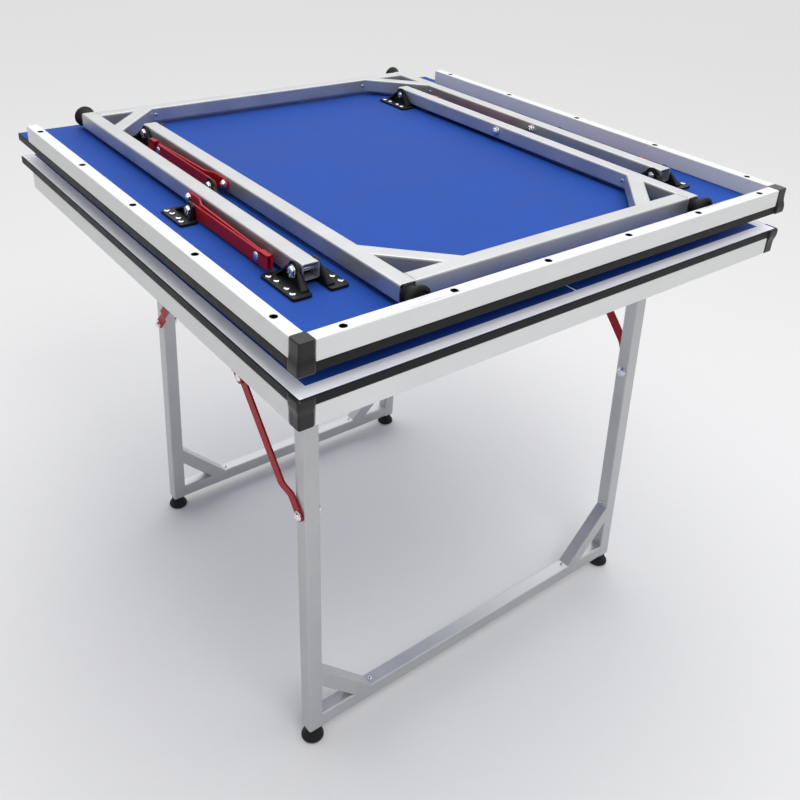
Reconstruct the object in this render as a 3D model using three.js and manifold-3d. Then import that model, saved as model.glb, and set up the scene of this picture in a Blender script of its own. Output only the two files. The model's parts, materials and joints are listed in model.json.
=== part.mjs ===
// A folding mid-size table-tennis table, 3 ft wide and 6 ft long when open. Its two halves are alike: a blue
// board with a black edge band, an apron of rails, and two leg frames that fold flat against the underside.
// The lower half stands on its legs. The upper half lies over it, playing face down, with its legs folded.
import * as THREE from "three";
import { mergeVertices } from "three/addons/utils/BufferGeometryUtils.js";
import Module from "manifold-3d";

const wasm = await Module();
wasm.setup();

// Driving dimensions, in millimetres and degrees.
const GAP = 0.3; // air between pieces that touch
const BOARD = { width: 914, depth: 914, thick: 12, band: 2 };
const PLAY_HEIGHT = 762; // floor to the lower half's playing face
const HALF_GAP = 30; // between the two playing faces when folded
const RAIL = { wide: 19, high: 28, setback: 56 }; // the side rails stop short of the joining edge
const RAIL_HOLE = { radius: 5, depth: 24, end: 62 };
const CAP = { block: 21, flare: 3, top: 0.3 };
const TUBE = { side: 25, wall: 1.5, corner: 2.5, behind: 14, chamfer: 5 };
const GUSSET_LEG = 60; // short sides of the triangular opening that a gusset leaves
const PIVOT_LIFT = 19.5; // hinge pin above the board's underside
const PIN = 4;
const FOOT = { radius: 18, high: 24, plug: 12 };
const BRACKET = { plate: 4, ear: 3.6, wide: 28, apex: 13, inset: 9, rib: 7 };
const STAY = { width: 20, thick: 3, rivet: 3.5, tail: 30, channelStart: 10, jogStart: 54, jogEnd: 28 };
const STAY_DROP = 6; // the stay's pin is this much nearer the board than the hinge pin
const HINGE_BASE = { long: 80, shift: 0, lift: PIVOT_LIFT };
const STAY_BASE = { long: 66, shift: 11, lift: PIVOT_LIFT - STAY_DROP };
const STAY_LANE = { leg: 0.5, bar: 8, arm: 12, ear: 15.6 }; // distances out from the tube's side face
const CENTRE_HINGE = { length: 700, leaf: 30, sheet: 2, eye: 5, pin: 2.5, lug: 12, offset: 0.5 };

// The two leg frames of a half. "pivot" is measured from the board's outer edge, "outside" is half the
// distance over the tubes, "stayPin" and "legBolt" are measured along the leg from the hinge pin.
const FRAMES = {
  front: { pivot: 166, outside: 357, splay: 2.5, stayPin: 251, legBolt: 283, turn: 0 },
  back: { pivot: 754, outside: 289, splay: 1, stayPin: 266, legBolt: 282, turn: Math.PI },
};

const MATERIALS = {
  board: new THREE.MeshStandardMaterial({ color: 0x2f4fa8, roughness: 0.45, metalness: 0 }),
  band: new THREE.MeshStandardMaterial({ color: 0x1b1a1c, roughness: 0.5, metalness: 0 }),
  rail: new THREE.MeshStandardMaterial({ color: 0xd9dadb, roughness: 0.45, metalness: 0.1 }),
  cap: new THREE.MeshStandardMaterial({ color: 0x161517, roughness: 0.4, metalness: 0 }),
  frame: new THREE.MeshStandardMaterial({ color: 0xb4b7bb, roughness: 0.35, metalness: 0.5 }),
  foot: new THREE.MeshStandardMaterial({ color: 0x141414, roughness: 0.7, metalness: 0 }),
  bracket: new THREE.MeshStandardMaterial({ color: 0x1a1a1b, roughness: 0.5, metalness: 0 }),
  stay: new THREE.MeshStandardMaterial({ color: 0xa3222b, roughness: 0.4, metalness: 0.2 }),
  steel: new THREE.MeshStandardMaterial({ color: 0xb9bbbd, roughness: 0.3, metalness: 0.9 }),
};

const radians = THREE.MathUtils.degToRad;

// Solid modelling: three.js makes every shape, manifold-3d joins and cuts them.
function toSolid(geometry) {
  const bare = geometry.clone();
  bare.deleteAttribute("normal");
  bare.deleteAttribute("uv");
  const merged = mergeVertices(bare, 1e-4);
  return new wasm.Manifold(
    new wasm.Mesh({
      numProp: 3,
      vertProperties: merged.attributes.position.array,
      triVerts: new Uint32Array(merged.index.array),
    }),
  );
}

function toGeometry(solid) {
  const { vertProperties, triVerts } = solid.getMesh();
  const geometry = new THREE.BufferGeometry();
  geometry.setAttribute("position", new THREE.BufferAttribute(vertProperties, 3));
  geometry.setIndex(new THREE.BufferAttribute(triVerts, 1));
  geometry.computeVertexNormals();
  return geometry;
}

const join = (...shapes) => toGeometry(shapes.map(toSolid).reduce((a, b) => a.add(b)));

const cut = (body, ...tools) => toGeometry(tools.map(toSolid).reduce((a, b) => a.subtract(b), toSolid(body)));

const overlap = (a, b) => toGeometry(toSolid(a).intersect(toSolid(b)));

// Box between two corners.
function block([x0, y0, z0], [x1, y1, z1]) {
  const geometry = new THREE.BoxGeometry(Math.abs(x1 - x0), Math.abs(y1 - y0), Math.abs(z1 - z0));
  return geometry.translate((x0 + x1) / 2, (y0 + y1) / 2, (z0 + z1) / 2);
}

// Cylinder along X from x0 to x1 at (y, z). Six sides make a hexagon head.
function rodX(radius, x0, x1, y, z, sides = 12) {
  const geometry = new THREE.CylinderGeometry(radius, radius, Math.abs(x1 - x0), sides);
  return geometry.rotateZ(Math.PI / 2).translate((x0 + x1) / 2, y, z);
}

// Cylinder along Z from z0 to z1 at (x, y).
function rodZ(radius, z0, z1, x, y, sides = 10) {
  const geometry = new THREE.CylinderGeometry(radius, radius, Math.abs(z1 - z0), sides);
  return geometry.rotateX(Math.PI / 2).translate(x, y, (z0 + z1) / 2);
}

// Flat outline drawn in (y, z), extruded along X from x0 to x1.
function slabX(outline, x0, x1, curveSegments = 4) {
  const [low, high] = x0 < x1 ? [x0, x1] : [x1, x0];
  const geometry = new THREE.ExtrudeGeometry(outline, {
    depth: high - low,
    bevelEnabled: false,
    curveSegments,
  });
  const axes = new THREE.Matrix4().makeBasis(
    new THREE.Vector3(0, 1, 0),
    new THREE.Vector3(0, 0, 1),
    new THREE.Vector3(1, 0, 0),
  );
  return geometry.applyMatrix4(axes).translate(low, 0, 0);
}

// Rectangle with rounded corners, centred on the origin.
function roundedRectangle(width, height, radius) {
  const [a, b] = [width / 2, height / 2];
  const shape = new THREE.Shape();
  shape.moveTo(-a + radius, -b);
  shape.lineTo(a - radius, -b);
  shape.absarc(a - radius, -b + radius, radius, -Math.PI / 2, 0, false);
  shape.lineTo(a, b - radius);
  shape.absarc(a - radius, b - radius, radius, 0, Math.PI / 2, false);
  shape.lineTo(-a + radius, b);
  shape.absarc(-a + radius, b - radius, radius, Math.PI / 2, Math.PI, false);
  shape.lineTo(-a, -b + radius);
  shape.absarc(-a + radius, -b + radius, radius, Math.PI, 1.5 * Math.PI, false);
  return shape;
}

// Strip with round ends, from (0, 0) to (length, 0).
function stadium(length, width) {
  const r = width / 2;
  const shape = new THREE.Shape();
  shape.moveTo(0, -r);
  shape.lineTo(length, -r);
  shape.absarc(length, 0, r, -Math.PI / 2, Math.PI / 2, false);
  shape.lineTo(0, r);
  shape.absarc(0, 0, r, Math.PI / 2, 1.5 * Math.PI, false);
  return shape;
}

function polygon(points) {
  return new THREE.Shape(points.map(([a, b]) => new THREE.Vector2(a, b)));
}

// Square tube's outline swept along +Y from y0 to y1, centred on (x, 0).
function tubeY(side, corner, y0, y1, x = 0) {
  const geometry = new THREE.ExtrudeGeometry(roundedRectangle(side, side, corner), {
    depth: y1 - y0,
    bevelEnabled: false,
    curveSegments: 1,
  });
  return geometry.rotateX(-Math.PI / 2).translate(x, y0, 0);
}

// Points of a square from (low, low) to (high, high) with rounded corners.
function squareOutline(low, high, radius, steps) {
  const corners = [
    [high - radius, low + radius, -90],
    [high - radius, high - radius, 0],
    [low + radius, high - radius, 90],
    [low + radius, low + radius, 180],
  ];
  return corners.flatMap(([x, y, start]) =>
    Array.from({ length: steps + 1 }, (_, i) => {
      const angle = radians(start + (90 * i) / steps);
      return new THREE.Vector2(x + radius * Math.cos(angle), y + radius * Math.sin(angle));
    }),
  );
}

// Solid through a stack of convex outlines with equal numbers of points, lowest first.
function loftZ(rings) {
  const count = rings[0].points.length;
  const positions = rings.flatMap(({ points, z }) => points.flatMap((point) => [point.x, point.y, z]));
  const index = [];
  for (let ring = 0; ring + 1 < rings.length; ring++) {
    for (let i = 0; i < count; i++) {
      const a = ring * count + i;
      const b = ring * count + ((i + 1) % count);
      index.push(a, b, b + count, a, b + count, a + count);
    }
  }
  const top = (rings.length - 1) * count;
  for (let i = 1; i + 1 < count; i++) {
    index.push(0, i + 1, i, top, top + i, top + i + 1);
  }
  const geometry = new THREE.BufferGeometry();
  geometry.setAttribute("position", new THREE.Float32BufferAttribute(positions, 3));
  geometry.setIndex(index);
  return geometry;
}

function piece(name, geometry, material) {
  const mesh = new THREE.Mesh(geometry, material.clone());
  mesh.name = name;
  return mesh;
}

// Board, edge band, rails and corner caps: x across from the middle, y from the outer edge, z up from the
// playing face towards the underside.
function buildTop(half, sideName) {
  const group = new THREE.Group();
  const { width, depth, thick, band } = BOARD;
  const edge = width / 2;

  const boardBody = block([-edge + band, band, 0], [edge - band, depth - band, thick]);
  group.add(piece(`board_${half}`, boardBody, MATERIALS.board));

  const bandOuter = block([-edge, 0, 0], [edge, depth, thick]);
  const inside = band - GAP;
  const bandInner = block([-edge + inside, inside, -1], [edge - inside, depth - inside, thick + 1]);
  group.add(piece(`edge_band_${half}`, cut(bandOuter, bandInner), MATERIALS.band));

  const railBase = thick + GAP;
  const railTop = thick + RAIL.high;
  const hole = (x, y) => rodZ(RAIL_HOLE.radius, railTop - RAIL_HOLE.depth, railTop + 1, x, y);
  const start = CAP.block + GAP;

  for (const side of [-1, 1]) {
    const rail = block([side * edge, start, railBase], [side * (edge - RAIL.wide), depth - RAIL.setback, railTop]);
    const run = depth - RAIL.setback - 2 * RAIL_HOLE.end + 16;
    const holes = [0, 1, 2, 3, 4].map((i) => hole(side * (edge - RAIL.wide / 2), RAIL_HOLE.end + 5 + (run * i) / 4));
    group.add(piece(`rail_${sideName(side)}_${half}`, cut(rail, ...holes), MATERIALS.rail));

    group.add(piece(`corner_cap_${sideName(side)}_${half}`, cornerCap(side), MATERIALS.cap));
  }

  const frontRail = block([-edge + start, 0, railBase], [edge - start, RAIL.wide, railTop]);
  const frontHoles = [0, 1, 2, 3, 4, 5].map((i) =>
    hole(-edge + RAIL_HOLE.end + ((width - 2 * RAIL_HOLE.end) * i) / 5, RAIL.wide / 2),
  );
  group.add(piece(`rail_front_${half}`, cut(frontRail, ...frontHoles), MATERIALS.rail));
  return group;
}

// Moulded cap: a square block over the rails' corner that flares out round the board's corner. Each section
// gives the height above the playing face, how far the cap stands out there, and its corner radius.
function cornerCap(side) {
  const edge = BOARD.width / 2;
  const { block: size, flare, top } = CAP;
  const crown = BOARD.thick + RAIL.high + top;
  const sections = [
    [-0.5, flare - 1.6, 3],
    [1.2, flare - 0.2, 3.5],
    [4, flare, 3.5],
    [9, flare, 3.5],
    [13, flare - 0.5, 3.5],
    [16, flare - 1.3, 3.2],
    [19, flare - 2.1, 3],
    [23, flare - 2.6, 3],
    [28, flare - 2.7, 3],
    [crown - 1, flare - 2.7, 3],
    [crown, flare - 3.5, 2.2],
  ];
  const cap = loftZ(sections.map(([z, proud, radius]) => ({ z, points: squareOutline(-proud, size, radius, 4) })));
  const boardRoom = block([-GAP, -GAP, -5], [2 * size, 2 * size, BOARD.thick + GAP]);
  const body = cut(cap, boardRoom);
  body.translate(-edge, 0, 0);
  if (side > 0) {
    body.scale(-1, 1, 1);
    const index = body.getIndex().array;
    for (let i = 0; i < index.length; i += 3) {
      [index[i + 1], index[i + 2]] = [index[i + 2], index[i + 1]];
    }
  }
  return body;
}

// Welded frame: two legs, a cross tube flush with their ends, and two gussets, all hollow. The origin is the
// hinge pin's axis, and the legs run along +Y.
function weldedFrame({ outside, legBolt }, legLength) {
  const { side, wall, corner, behind, chamfer } = TUBE;
  const legX = outside - side / 2;
  const crossY = legLength - side / 2;

  function skeleton(width, radius, reach) {
    const parts = [-1, 1].map((s) => tubeY(width, radius, -behind - reach, legLength + reach, s * legX));
    const cross = tubeY(width, radius, -legX, legX);
    parts.push(cross.rotateZ(Math.PI / 2).translate(0, crossY, 0));
    const inner = GUSSET_LEG + side / Math.SQRT2; // centre line's distance from the inside corner
    for (const s of [-1, 1]) {
      const brace = tubeY(width, radius, -inner * Math.SQRT1_2 - side / 2, inner * Math.SQRT1_2 + side / 2);
      brace.rotateZ((s * Math.PI) / 4);
      const cornerX = legX - side / 2;
      const cornerY = crossY - side / 2;
      brace.translate(s * (cornerX - inner / 2), cornerY - inner / 2, 0);
      parts.push(brace);
    }
    return parts;
  }

  const outer = join(...skeleton(side, corner, 0));
  const bore = join(...skeleton(side - 2 * wall, corner - wall, 2));
  const holes = [-1, 1].map((s) => rodX(PIN + 0.35, s * (outside + 2), s * (outside - side - 2), 0, 0));
  const bevel = [-1, 1].map((s) =>
    slabX(
      polygon([
        [-behind - 1, -side / 2 - 1],
        [-behind + chamfer, -side / 2 - 1],
        [-behind - 1, -side / 2 + chamfer],
      ]),
      s * (outside + 1),
      s * (outside - side - 1),
    ),
  );
  const tubes = cut(outer, bore, ...holes, ...bevel);
  const nuts = [-1, 1].map((s) => rodX(6, s * (outside - side + 0.5), s * (outside - side - 5), legBolt, 0, 6));
  return join(tubes, ...nuts);
}

// Moulded foot: a square plug, a collar and a flared pad. It points along +Y from the tube's end.
function foot() {
  const { radius, high, plug } = FOOT;
  const profile = [
    [0, GAP],
    [12.4, GAP],
    [12.4, 3],
    [10.5, 5],
    [radius, 19],
    [radius, high - 1.5],
    [radius - 1.5, high],
    [0, high],
  ].map(([r, y]) => new THREE.Vector2(r, y));
  const pad = new THREE.LatheGeometry(profile, 16);
  const plugSide = TUBE.side - 2 * TUBE.wall - 2 * GAP;
  return join(pad, tubeY(plugSide, 1, -plug, 1));
}

// One bracket: a base plate on the board and a triangular ear round a pin at (0, 0). "near" is the x of the
// ear's face that meets the moving part, "out" is the direction away from it, "shift" is how far the middle of
// the base lies past the pin, and "lift" is the pin's height above the board.
function bracketBody(near, out, { long, shift, lift }) {
  const { plate, ear, wide, apex, inset, rib } = BRACKET;
  const floor = -lift + GAP;
  const base = new THREE.ExtrudeGeometry(roundedRectangle(wide, long, 4), {
    depth: plate,
    bevelEnabled: false,
    curveSegments: 2,
  }).translate(near + (out * wide) / 2, shift, floor);
  const reach = long / 2 - inset;
  const ends = [shift - reach, shift + reach];
  const slopes = ends.map((end) => Math.atan2(apex - 2, Math.abs(end)));
  const outline = new THREE.Shape();
  outline.moveTo(ends[0], floor + 1);
  outline.lineTo(ends[1], floor + 1);
  outline.lineTo(ends[1], floor + plate + 2);
  outline.absarc(0, 0, apex, slopes[1], Math.PI - slopes[0], false);
  outline.lineTo(ends[0], floor + plate + 2);
  const web = slabX(outline, near, near + out * ear, 5);
  const ribs = ends.map((end, i) => {
    const s = Math.sign(end);
    const top = [s * apex * Math.cos(slopes[i]), apex * Math.sin(slopes[i])];
    return slabX(
      polygon([
        [end - s * 4, floor + 1],
        [end, floor + 1],
        [end, floor + plate + 2],
        top,
        [top[0] - s * 3, top[1] - 1],
        [end - s * 4, floor + plate + 1],
      ]),
      near,
      near + out * rib,
    );
  });
  return join(base, web, ...ribs);
}

// The two brackets that hold one leg, joined by their pin with its hexagon ends.
function hingeBrackets(side, outside) {
  const { ear } = BRACKET;
  const outer = side * (outside + 0.4);
  const inner = side * (outside - TUBE.side - 0.4);
  const outerEnd = outer + side * (ear + 5);
  const innerEnd = inner - side * (ear + 4);
  return join(
    bracketBody(outer, side, HINGE_BASE),
    bracketBody(inner, -side, HINGE_BASE),
    rodX(PIN, outerEnd, innerEnd, 0, 0),
    rodX(7, outer + side * ear, outerEnd, 0, 0, 6),
    rodX(7, inner - side * ear, innerEnd, 0, 0, 6),
  );
}

// The bracket that holds a stay's arm, with its pin and the pin's two heads.
function stayBracket(side, outside) {
  const lane = (d) => side * (outside + d);
  const { ear, arm } = STAY_LANE;
  return join(
    bracketBody(lane(ear), side, STAY_BASE),
    rodX(PIN, lane(arm - 2), lane(ear + BRACKET.ear + 4), 0, 0),
    rodX(5.5, lane(arm - 2.8), lane(arm - GAP), 0, 0),
    rodX(6.5, lane(ear + BRACKET.ear), lane(ear + BRACKET.ear + 5), 0, 0, 6),
  );
}

// The stay's arm: a flat strip from the bracket's pin to the elbow, with the elbow's rivet through it.
function stayArm(side, outside, length) {
  const lane = (d) => side * (outside + d);
  const { arm, bar } = STAY_LANE;
  const strip = slabX(stadium(length, STAY.width), lane(arm), lane(arm + STAY.thick), 5);
  const bore = rodX(PIN + 0.35, lane(arm - 1), lane(arm + STAY.thick + 1), 0, 0);
  const rivet = rodX(STAY.rivet, lane(bar - 2), lane(arm + STAY.thick + 2), length, 0);
  const inHead = rodX(5.5, lane(bar - 2.4), lane(bar - GAP), length, 0);
  const outHead = rodX(6, lane(arm + STAY.thick), lane(arm + STAY.thick + 2.2), length, 0);
  return join(cut(strip, bore), rivet, inHead, outHead);
}

// The stay's bar: from the elbow at the origin to the leg's bolt at (length, 0). It steps in to the tube near
// the bolt, and past the elbow its tail is folded into a channel that the arm closes into.
function stayBar(side, outside, length) {
  const lane = (d) => side * (outside + d);
  const { leg, bar, arm } = STAY_LANE;
  const { thick, tail, channelStart, jogStart, jogEnd, width } = STAY;
  const half = width / 2 - 1;
  const run = [
    [-tail, bar],
    [length - jogStart, bar],
    [length - jogEnd, leg],
    [length + half + 1, leg],
    [length + half + 1, leg + thick],
    [length - jogEnd + 1, leg + thick],
    [length - jogStart + 1, bar + thick],
    [-tail, bar + thick],
  ];
  const profile = polygon(run.map(([y, d]) => [y, side * (outside + d)]));
  const bent = new THREE.ExtrudeGeometry(profile, { depth: 2 * half, bevelEnabled: false });
  const axes = new THREE.Matrix4().makeBasis(
    new THREE.Vector3(0, 1, 0),
    new THREE.Vector3(1, 0, 0),
    new THREE.Vector3(0, 0, -1),
  );
  bent.applyMatrix4(axes).translate(0, 0, half);
  const outline = stadium(length + tail, 2 * half);
  const limit = slabX(outline, lane(-2), lane(22), 5).translate(0, -tail, 0);
  const squareTail = block([lane(-3), -tail, -half], [lane(23), -tail + half + 2, half]);
  const strip = overlap(bent, join(limit, squareTail));
  const bore = rodX(STAY.rivet + 0.4, lane(bar - 1), lane(bar + thick + 1), 0, 0);
  const lift = width / 2 + 0.6; // the channel's web clears the arm's edge by this much
  const flange = arm + thick + 0.6;
  const web = block([lane(bar), -tail, half - 1], [lane(flange + 2.5), -channelStart, lift + 2.5]);
  const webRoom = block([lane(bar + thick), -tail - 1, half - 2], [lane(flange), 1 - channelStart, lift]);
  const cheek = block([lane(flange), -tail, -6], [lane(flange + 2.5), -channelStart - 2, lift + 2]);
  const head = rodX(6.5, lane(leg + thick - 0.2), lane(leg + thick + 5), length, 0, 6);
  return join(cut(strip, bore), cut(web, webRoom), cheek, head);
}

// Where a stay's two parts lie when the leg has turned by "angle" from folded. Folded, the arm lies parallel to
// the board. Standing, the arm and the bar are in one line.
function stayPose({ stayPin, legBolt, splay }, angle) {
  const pin = new THREE.Vector2(stayPin, -STAY_DROP);
  const boltAt = (degrees) =>
    new THREE.Vector2(legBolt * Math.cos(radians(degrees)), legBolt * Math.sin(radians(degrees)));
  const past = legBolt - stayPin; // how far the folded leg's bolt lies beyond the pin
  const longest = pin.distanceTo(boltAt(90 + splay));
  const arm = (longest ** 2 - past ** 2 - STAY_DROP ** 2) / (2 * (longest + past));
  const bar = longest - arm;
  const bolt = boltAt(angle);
  const reach = Math.min(pin.distanceTo(bolt), longest);
  const cosine = (arm ** 2 + reach ** 2 - bar ** 2) / (2 * arm * reach);
  const spread = Math.acos(THREE.MathUtils.clamp(cosine, -1, 1));
  const armAngle = Math.atan2(bolt.y - pin.y, bolt.x - pin.x) + spread;
  const elbow = new THREE.Vector2(pin.x + arm * Math.cos(armAngle), pin.y + arm * Math.sin(armAngle));
  const barAngle = Math.atan2(bolt.y - elbow.y, bolt.x - elbow.x);
  return { arm, bar, armAngle, barAngle, elbow };
}

// How far a leg reaches from its pin to the tube's end, so that every foot's lowest edge is on the floor.
function legLength({ splay }) {
  const drop = PLAY_HEIGHT - BOARD.thick - PIVOT_LIFT;
  const lean = radians(splay);
  return (drop - (FOOT.radius - 1.5) * Math.sin(lean)) / Math.cos(lean) - FOOT.high;
}

// One leg frame with its brackets and stays. "angle" is the leg's turn from folded.
function buildStation(where, half, angle, sideName) {
  const frame = FRAMES[where];
  const { outside, turn, pivot } = frame;
  const label = `${where}_${half}`;
  const station = new THREE.Group();
  station.position.set(0, pivot, BOARD.thick + PIVOT_LIFT);
  station.rotation.z = turn;

  const length = legLength(frame);
  const swing = new THREE.Group();
  swing.rotation.x = radians(angle);
  swing.add(piece(`leg_frame_${label}`, weldedFrame(frame, length), MATERIALS.frame));
  station.add(swing);

  const pose = stayPose(frame, angle);
  for (const side of [-1, 1]) {
    const name = sideName(turn ? -side : side);
    const pad = piece(`foot_${name}_${label}`, foot(), MATERIALS.foot);
    pad.position.set(side * (outside - TUBE.side / 2), length, 0);
    swing.add(pad);

    station.add(piece(`hinge_brackets_${name}_${label}`, hingeBrackets(side, outside), MATERIALS.bracket));

    const holder = piece(`stay_bracket_${name}_${label}`, stayBracket(side, outside), MATERIALS.bracket);
    holder.position.set(0, frame.stayPin, -STAY_DROP);
    station.add(holder);

    const arm = piece(`stay_arm_${name}_${label}`, stayArm(side, outside, pose.arm), MATERIALS.stay);
    arm.position.copy(holder.position);
    arm.rotation.x = pose.armAngle;
    station.add(arm);

    const bar = piece(`stay_bar_${name}_${label}`, stayBar(side, outside, pose.bar), MATERIALS.stay);
    bar.position.set(0, pose.elbow.x, pose.elbow.y);
    bar.rotation.x = pose.barAngle;
    station.add(bar);
  }
  return station;
}

// One leaf of the centre hinge, on the playing face along the joining edge, with its lugs standing up to the
// pin. The lower leaf carries the pin. "lugs" are the x of the lugs' middles.
function hingeLeaf(lugs, pins) {
  const { length, leaf, sheet, eye, pin, lug, offset } = CENTRE_HINGE;
  const rise = HALF_GAP / 2;
  const back = BOARD.depth + offset;
  const strip = block([-length / 2, back - eye - leaf, GAP], [length / 2, back - eye - 1, sheet + GAP]);
  const ears = lugs.map((x) => {
    const outline = new THREE.Shape();
    outline.moveTo(back - eye - 12, GAP);
    outline.lineTo(back - eye - 1, GAP);
    outline.lineTo(back - eye - 1, rise - eye - 2);
    outline.absarc(back, rise, eye, -Math.PI / 4, Math.PI / 2, false);
    return slabX(outline, x - lug / 2, x + lug / 2, 4);
  });
  const body = join(strip, ...ears);
  if (!pins.length) {
    const bores = lugs.map((x) => rodX(pin + 0.35, x - lug, x + lug, back, rise));
    return cut(body, ...bores);
  }
  return join(body, ...pins.map(([x0, x1]) => rodX(pin, x0, x1, back, rise)));
}

function buildHalf(half, frontAngle, backAngle) {
  const turned = half === "lower"; // the lower half is the same thing turned over about its length
  const sideName = (side) => ((turned ? -side : side) < 0 ? "left" : "right");
  const group = new THREE.Group();
  group.add(buildTop(half, sideName));
  group.add(buildStation("front", half, frontAngle, sideName));
  group.add(buildStation("back", half, backAngle, sideName));
  const stations = [-300, -100, 100, 300];
  const reach = CENTRE_HINGE.lug + 0.5;
  const outer = stations.flatMap((x) => [x - reach, x + reach]);
  const pins = stations.map((x) => [x - reach - CENTRE_HINGE.lug / 2, x + reach + CENTRE_HINGE.lug / 2]);
  const leaf = turned ? hingeLeaf(outer, pins) : hingeLeaf(stations, []);
  const strip = piece(`centre_hinge_${half}`, leaf, MATERIALS.steel);
  strip.rotation.y = Math.PI; // the leaf is on the playing face, on the other side from the legs
  group.add(strip);
  return group;
}

const table = new THREE.Group();
table.name = "folding_table";

const upper = buildHalf("upper", 0, 0);
upper.position.z = PLAY_HEIGHT + HALF_GAP;

const lower = buildHalf("lower", 90 + FRAMES.front.splay, 90 + FRAMES.back.splay);
lower.rotation.y = Math.PI;
lower.position.z = PLAY_HEIGHT;

// The middle of the floor under the whole table is the origin.
const hingeProud = CENTRE_HINGE.offset + CENTRE_HINGE.eye;
const middle = (BOARD.depth + hingeProud - CAP.flare) / 2;
for (const half of [upper, lower]) {
  half.position.y = -middle;
  table.add(half);
}

export default table;
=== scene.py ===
"""Looks for a folding mid-size table-tennis table: lower half standing, upper half folded over it.

Places are in metres, and the sizes of small parts in millimetres. Each leg station is built in its own axes:
x out to the sides, y from the hinge pin towards the foot as it lies when folded, z away from the board.
station_matrix() places those axes.
"""

import json
import math

import bmesh
import bpy
from mathutils import Matrix, Vector

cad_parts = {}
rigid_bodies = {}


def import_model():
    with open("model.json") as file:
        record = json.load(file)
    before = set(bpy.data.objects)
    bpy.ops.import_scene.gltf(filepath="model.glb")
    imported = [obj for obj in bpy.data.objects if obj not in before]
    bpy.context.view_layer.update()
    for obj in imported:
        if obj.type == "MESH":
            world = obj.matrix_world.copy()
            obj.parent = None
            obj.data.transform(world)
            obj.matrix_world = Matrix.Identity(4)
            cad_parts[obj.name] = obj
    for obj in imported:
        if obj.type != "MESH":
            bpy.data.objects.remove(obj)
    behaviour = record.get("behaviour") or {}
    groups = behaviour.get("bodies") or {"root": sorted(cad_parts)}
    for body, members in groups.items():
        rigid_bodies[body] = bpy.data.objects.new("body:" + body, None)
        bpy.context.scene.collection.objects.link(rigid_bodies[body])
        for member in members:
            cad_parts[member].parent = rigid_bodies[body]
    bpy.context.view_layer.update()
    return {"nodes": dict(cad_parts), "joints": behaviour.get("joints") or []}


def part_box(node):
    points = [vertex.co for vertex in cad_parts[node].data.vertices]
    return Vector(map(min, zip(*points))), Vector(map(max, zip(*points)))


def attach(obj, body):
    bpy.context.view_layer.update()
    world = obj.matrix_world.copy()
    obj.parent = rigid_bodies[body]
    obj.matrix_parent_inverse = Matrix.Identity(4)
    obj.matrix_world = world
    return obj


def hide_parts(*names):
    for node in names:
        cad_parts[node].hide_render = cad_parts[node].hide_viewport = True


MM = 0.001
HALVES = ("upper", "lower")
PLACES = ("front", "back")

# Sizes shared with the CAD model.
TUBE = 25 * MM
BRACKET = {"plate": 4, "ear": 3.6, "wide": 28, "apex": 13, "inset": 9, "rib": 5}
HINGE_BASE = {"long": 80, "shift": 0, "lift": 19.5}
STAY_BASE = {"long": 66, "shift": 11, "lift": 13.5}
LANE = {"leg": 0.5, "bar": 8, "arm": 12, "ear": 15.6}
STAY = {"width": 20, "thick": 3, "tail": 30, "channel_start": 10, "jog_start": 54, "jog_end": 28}
LEG_BOLT = {"front": 283 * MM, "back": 282 * MM}
GUSSET_OUTER = 97 * MM
RAIL_SETBACK = 56 * MM
HOLE_END = 62 * MM
HOLE_RADIUS = 5.0
# Along the side rails the row of holes starts further in than HOLE_END, and it is longer.
SIDE_ROW_SHIFT = 5 * MM
SIDE_ROW_EXTRA = 16 * MM

# Brackets, in mm: gap under the plate, radius of the boss and of the pin, and the screws' places on the
# hinge's plate, each along it and out from the ear.
SEAT_GAP = 0.3
BOSS_RADIUS = 8.8
PIN_RADIUS = 4
BASE_SCREWS = ((-28, 22), (-12, 20), (12, 20), (28, 22))

# Bolt heads and nuts, in mm. The washer and the stud are given by their radius.
HINGE_HEAD = {"radius": 7.4, "high": 4.8, "washer": 8.4}
HINGE_NUT = {"radius": 6.4, "high": 3.6, "washer": 7.2, "stud": 3.0}
STAY_HEAD = {"radius": 7.4, "high": 4.6, "washer": 8.2}
BAR_NUT = {"radius": 6.4, "high": 4.9, "washer": 7.4, "stud": 3.0}
LEG_NUT = {"radius": 8.0, "high": 6.0, "washer": 9.0, "stud": 3.4}

# Screws along the centre hinge's leaf.
STRIP_SCREWS = {"count": 12, "first": -0.33, "step": 0.06, "row": 12 * MM, "lift": 2.1 * MM}

# Weld beads.
BEAD_RADIUS = 0.7
BEAD_SIDES = 8

# Painted lines.
LINE_WIDTH = 20
CENTRE_LINE_WIDTH = 3
PAINT_THICKNESS = 0.12

# Floor and sky.
FLOOR_REACH = 30000
SKY_CENTRE = (0.35, 0.35, 1.0)
SKY_LEVELS = ((0.1, 0.04), (1.0, 1.75))
HORIZON_LEVELS = ((0.2, 0.62), (0.32, 0.0))


# ---------------------------------------------------------------- materials


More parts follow.
